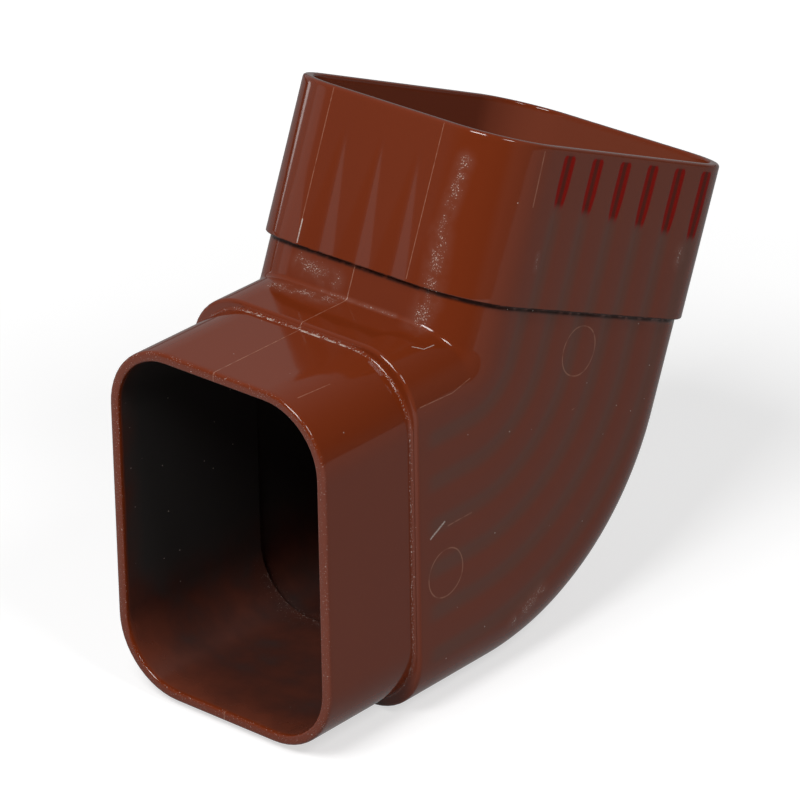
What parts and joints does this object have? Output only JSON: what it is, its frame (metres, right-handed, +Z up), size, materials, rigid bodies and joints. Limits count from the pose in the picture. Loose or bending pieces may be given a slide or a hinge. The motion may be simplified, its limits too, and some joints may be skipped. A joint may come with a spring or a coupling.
{
  "type": "downspout elbow",
  "caption": "Moulded rectangular downspout elbow with a fluted socket at one end and a plain spigot with a collar at the other, turning rain water through an obtuse bend.",
  "frame": {"origin": "where the spigot's axis meets the collar's shoulder, on the plane of symmetry", "axes": "-Y out along the spigot, +Z up, X across the width; the socket leans back from +Z towards +Y by 22.5 degrees"},
  "size_m": [0.0638, 0.134, 0.1214],
  "materials": {
    "brown_pvc": "glossy red-brown rigid PVC, as moulded, with faint scuffs and dust"
  },
  "bodies": {
    "root": {"elbow": "brown_pvc"}
  },
  "joints": []
}
